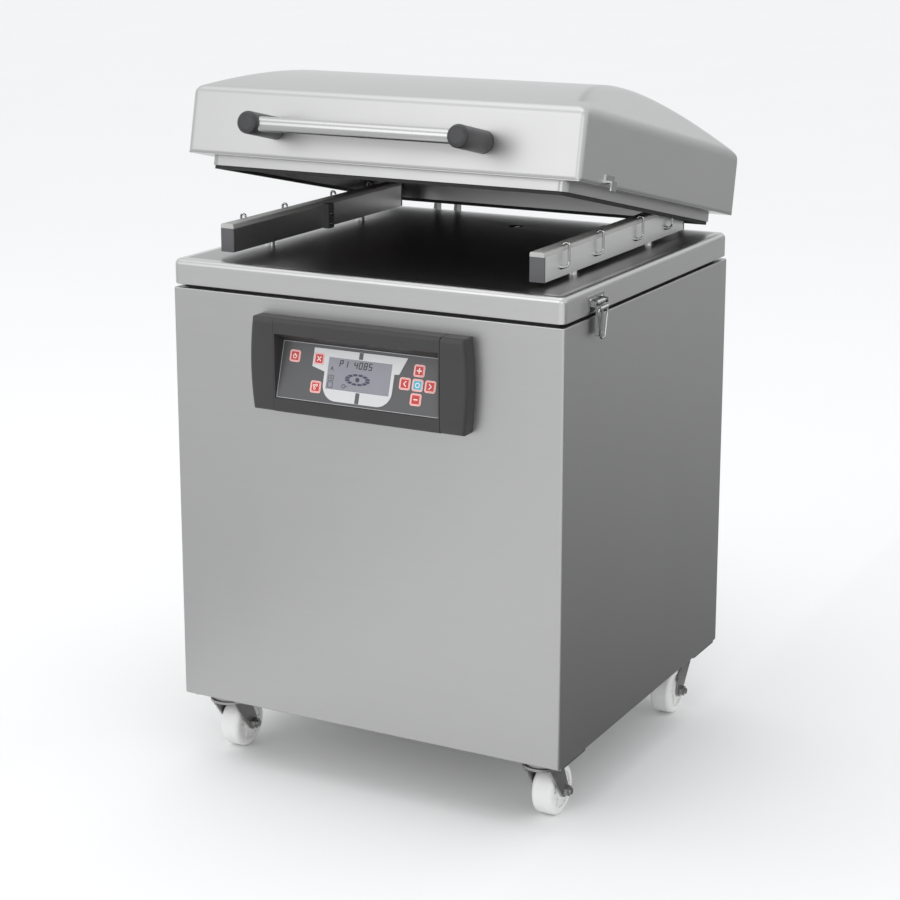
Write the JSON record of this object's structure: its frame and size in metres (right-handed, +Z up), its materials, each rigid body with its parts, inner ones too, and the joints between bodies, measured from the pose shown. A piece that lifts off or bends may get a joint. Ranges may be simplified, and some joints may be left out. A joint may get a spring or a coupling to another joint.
{
  "type": "double chamber-bar vacuum packing machine on casters",
  "caption": "Floor-standing chamber vacuum sealer with a sheet-steel cabinet, lifting seal bars, a domed hinged lid with a front handle, a slanted keypad and swivel casters.",
  "frame": {"origin": "on the floor under the middle of the machine's bounding box, left to right and front to back", "axes": "+X to the right of someone facing the control panel, +Y from the control panel towards the hinge, +Z up"},
  "size_m": [0.693, 0.7079, 1.0816],
  "materials": {
    "sheet_steel": "satin brushed stainless sheet",
    "plate_steel": "brushed stainless deep-drawn plate",
    "lid_steel": "brushed stainless lid",
    "bright_steel": "polished steel",
    "zinc_steel": "zinc-plated steel",
    "bar_aluminium": "anodised extruded aluminium",
    "seal_tape": "woven release tape over the heating wire",
    "charcoal_plastic": "fine-textured moulded plastic",
    "post_plastic": "satin black plastic",
    "keypad_film": "matt printed film",
    "surround_film": "silver printed film",
    "display_glass": "grey liquid crystal behind a clear window",
    "key_red": "dark red key",
    "key_cyan": "cyan key",
    "board_green": "lacquered circuit board",
    "cast_grey": "painted casting",
    "motor_grey": "painted finned housing",
    "valve_aluminium": "milled aluminium manifold",
    "core_steel": "varnished core and winding",
    "black_rubber": "soft black rubber",
    "silicone": "red silicone",
    "spring_steel": "oiled spring steel",
    "wheel_nylon": "white nylon"
  },
  "bodies": {
    "cabinet": {"base_pan": "sheet_steel", "cabinet_wrap": "sheet_steel", "rear_panel": "sheet_steel", "deck_frame": "zinc_steel", "work_plate": "plate_steel", "control_bezel": "charcoal_plastic", "bezel_end_caps": "charcoal_plastic", "keypad_panel": "keypad_film", "display_surround": "surround_film", "display_window": "display_glass", "control_board": "board_green", "vacuum_pump": "cast_grey", "pump_motor": "motor_grey", "valve_block": "valve_aluminium", "transformer": "core_steel", "vacuum_hose": "black_rubber", "lift_cylinders": "bar_aluminium", "hinge_brackets": "zinc_steel", "hinge_shaft": "bright_steel", "hinge_springs": "spring_steel", "mains_inlet": "charcoal_plastic", "caster_plates": "zinc_steel", "latch_bases": "bright_steel"},
    "lid": {"lid_shell": "lid_steel", "lid_rim": "lid_steel", "lid_gasket": "black_rubber", "pressure_bars": "bar_aluminium", "silicone_strips": "silicone", "handle_tube": "bright_steel", "handle_posts": "post_plastic", "lid_arms": "zinc_steel", "latch_keepers": "bright_steel"},
    "seal_bar_left": {"seal_bar_left": "bar_aluminium", "seal_strip_left": "seal_tape", "bar_ends_left": "charcoal_plastic", "bag_clips_left": "bright_steel"},
    "seal_bar_right": {"seal_bar_right": "bar_aluminium", "seal_strip_right": "seal_tape", "bar_ends_right": "charcoal_plastic", "bag_clips_right": "bright_steel"},
    "caster_fork_fl": {"caster_fork_fl": "zinc_steel"},
    "caster_wheel_fl": {"caster_wheel_fl": "wheel_nylon"},
    "caster_fork_fr": {"caster_fork_fr": "zinc_steel"},
    "caster_wheel_fr": {"caster_wheel_fr": "wheel_nylon"},
    "caster_fork_rl": {"caster_fork_rl": "zinc_steel"},
    "caster_wheel_rl": {"caster_wheel_rl": "wheel_nylon"},
    "caster_fork_rr": {"caster_fork_rr": "zinc_steel"},
    "caster_wheel_rr": {"caster_wheel_rr": "wheel_nylon"},
    "latch_lever_left": {"latch_lever_left": "bright_steel"},
    "latch_bail_left": {"latch_bail_left": "bright_steel"},
    "latch_lever_right": {"latch_lever_right": "bright_steel"},
    "latch_bail_right": {"latch_bail_right": "bright_steel"},
    "key_power": {"key_power": "key_red"},
    "key_stop": {"key_stop": "key_red"},
    "key_program": {"key_program": "key_red"},
    "key_plus": {"key_plus": "key_red"},
    "key_left": {"key_left": "key_red"},
    "key_enter": {"key_enter": "key_cyan"},
    "key_right": {"key_right": "key_red"},
    "key_minus": {"key_minus": "key_red"}
  },
  "joints": [
    {"name": "lid_hinge", "type": "hinge", "parent": "cabinet", "child": "lid", "pos_m": [0, 0.32913, 0.704], "axis": [-1, 0, 0], "range_deg": [-12.5, 32.5]},
    {"name": "seal_bar_left_lift", "type": "slide", "parent": "cabinet", "child": "seal_bar_left", "axis": [0, 0, 1], "range_m": [0, 0.01]},
    {"name": "seal_bar_right_lift", "type": "slide", "parent": "cabinet", "child": "seal_bar_right", "axis": [0, 0, 1], "range_m": [0, 0.01]},
    {"name": "caster_fl_swivel", "type": "hinge", "parent": "cabinet", "child": "caster_fork_fl", "pos_m": [-0.279, -0.26937, 0.1], "axis": [0, 0, 1], "continuous": true},
    {"name": "caster_fl_roll", "type": "hinge", "parent": "caster_fork_fl", "child": "caster_wheel_fl", "pos_m": [-0.279, -0.23637, 0.04], "axis": [1, 0, 0], "continuous": true},
    {"name": "caster_fr_swivel", "type": "hinge", "parent": "cabinet", "child": "caster_fork_fr", "pos_m": [0.279, -0.26937, 0.1], "axis": [0, 0, 1], "continuous": true},
    {"name": "caster_fr_roll", "type": "hinge", "parent": "caster_fork_fr", "child": "caster_wheel_fr", "pos_m": [0.279, -0.23637, 0.04], "axis": [1, 0, 0], "continuous": true},
    {"name": "caster_rl_swivel", "type": "hinge", "parent": "cabinet", "child": "caster_fork_rl", "pos_m": [-0.279, 0.25263, 0.1], "axis": [0, 0, 1], "continuous": true},
    {"name": "caster_rl_roll", "type": "hinge", "parent": "caster_fork_rl", "child": "caster_wheel_rl", "pos_m": [-0.279, 0.21963, 0.04], "axis": [1, 0, 0], "continuous": true},
    {"name": "caster_rr_swivel", "type": "hinge", "parent": "cabinet", "child": "caster_fork_rr", "pos_m": [0.279, 0.25263, 0.1], "axis": [0, 0, 1], "continuous": true},
    {"name": "caster_rr_roll", "type": "hinge", "parent": "caster_fork_rr", "child": "caster_wheel_rr", "pos_m": [0.279, 0.21963, 0.04], "axis": [1, 0, 0], "continuous": true},
    {"name": "latch_left_lever", "type": "hinge", "parent": "cabinet", "child": "latch_lever_left", "pos_m": [-0.337, -0.21837, 0.7895], "axis": [0, 1, 0], "range_deg": [0, 110]},
    {"name": "latch_left_bail", "type": "hinge", "parent": "latch_lever_left", "child": "latch_bail_left", "pos_m": [-0.343, -0.21837, 0.7815], "axis": [0, 1, 0], "range_deg": [0, 80]},
    {"name": "latch_right_lever", "type": "hinge", "parent": "cabinet", "child": "latch_lever_right", "pos_m": [0.337, -0.21837, 0.7895], "axis": [0, -1, 0], "range_deg": [0, 110]},
    {"name": "latch_right_bail", "type": "hinge", "parent": "latch_lever_right", "child": "latch_bail_right", "pos_m": [0.343, -0.21837, 0.7815], "axis": [0, -1, 0], "range_deg": [0, 80]},
    {"name": "key_power_press", "type": "slide", "parent": "cabinet", "child": "key_power", "axis": [0, 0.9588, -0.284], "range_m": [0, 0.0005], "stiffness_N_per_m": 400},
    {"name": "key_stop_press", "type": "slide", "parent": "cabinet", "child": "key_stop", "axis": [0, 0.9588, -0.284], "range_m": [0, 0.0005], "stiffness_N_per_m": 400},
    {"name": "key_program_press", "type": "slide", "parent": "cabinet", "child": "key_program", "axis": [0, 0.9588, -0.284], "range_m": [0, 0.0005], "stiffness_N_per_m": 400},
    {"name": "key_plus_press", "type": "slide", "parent": "cabinet", "child": "key_plus", "axis": [0, 0.9588, -0.284], "range_m": [0, 0.0005], "stiffness_N_per_m": 400},
    {"name": "key_left_press", "type": "slide", "parent": "cabinet", "child": "key_left", "axis": [0, 0.9588, -0.284], "range_m": [0, 0.0005], "stiffness_N_per_m": 400},
    {"name": "key_enter_press", "type": "slide", "parent": "cabinet", "child": "key_enter", "axis": [0, 0.9588, -0.284], "range_m": [0, 0.0005], "stiffness_N_per_m": 400},
    {"name": "key_right_press", "type": "slide", "parent": "cabinet", "child": "key_right", "axis": [0, 0.9588, -0.284], "range_m": [0, 0.0005], "stiffness_N_per_m": 400},
    {"name": "key_minus_press", "type": "slide", "parent": "cabinet", "child": "key_minus", "axis": [0, 0.9588, -0.284], "range_m": [0, 0.0005], "stiffness_N_per_m": 400}
  ],
  "couplings": [
    {"joint": "seal_bar_right_lift", "follows": "seal_bar_left_lift", "ratio": 1}
  ]
}
